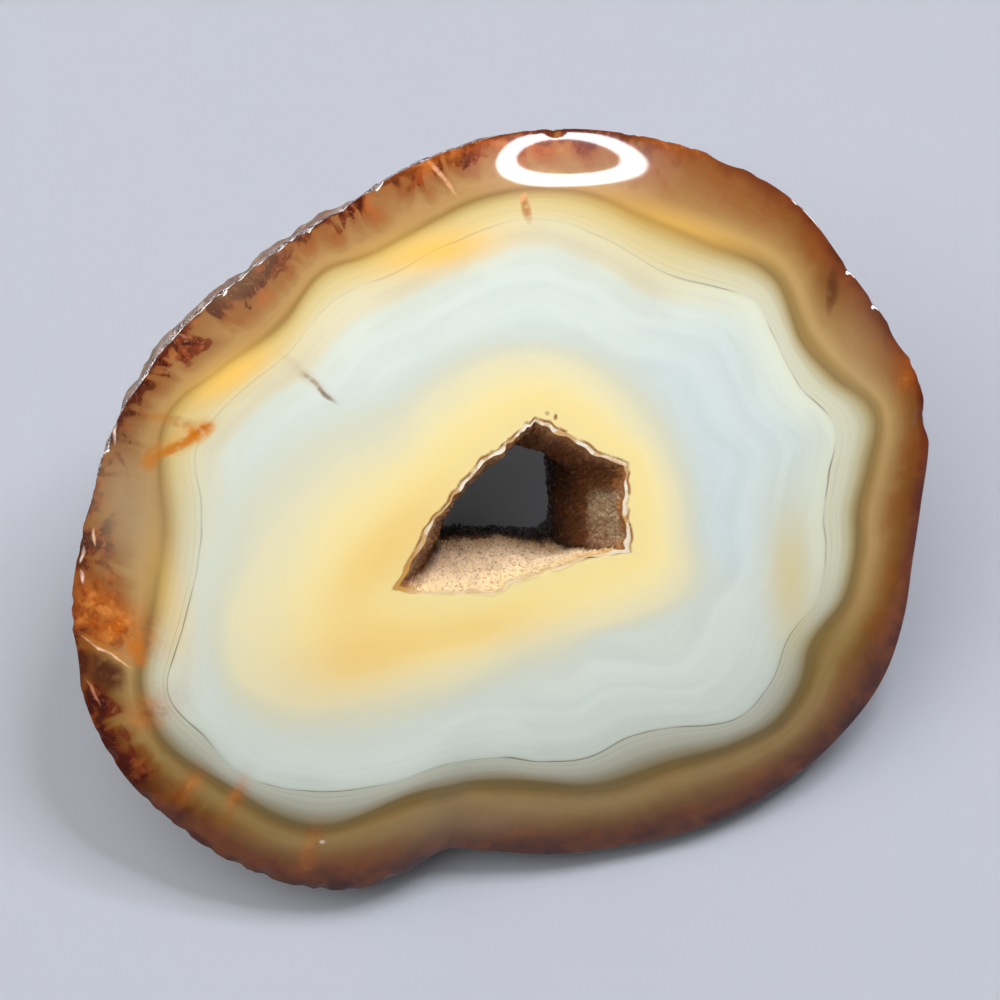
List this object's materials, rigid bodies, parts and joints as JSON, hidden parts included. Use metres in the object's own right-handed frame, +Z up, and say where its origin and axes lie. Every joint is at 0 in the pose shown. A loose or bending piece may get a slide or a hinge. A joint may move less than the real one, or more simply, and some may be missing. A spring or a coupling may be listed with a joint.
{
  "type": "polished agate nodule piece",
  "caption": "Thick piece of banded agate nodule with a domed polished face, natural rind and a crystal-lined through cavity, leaning back on a small flat spot.",
  "frame": {"origin": "centre of the bounding box in plan, on the surface that the flat spot rests on", "axes": "+Z up, +X along the stone's greatest length, -Y towards the polished face"},
  "size_m": [0.094, 0.075, 0.056],
  "materials": {
    "banded_agate": "high polish on the domed face, rough waxy natural rind elsewhere",
    "crystal_druse": "fine sugary crystal druse with small glints"
  },
  "bodies": {
    "root": {"agate_stone": "banded_agate", "crystal_crust": "crystal_druse"}
  },
  "joints": []
}
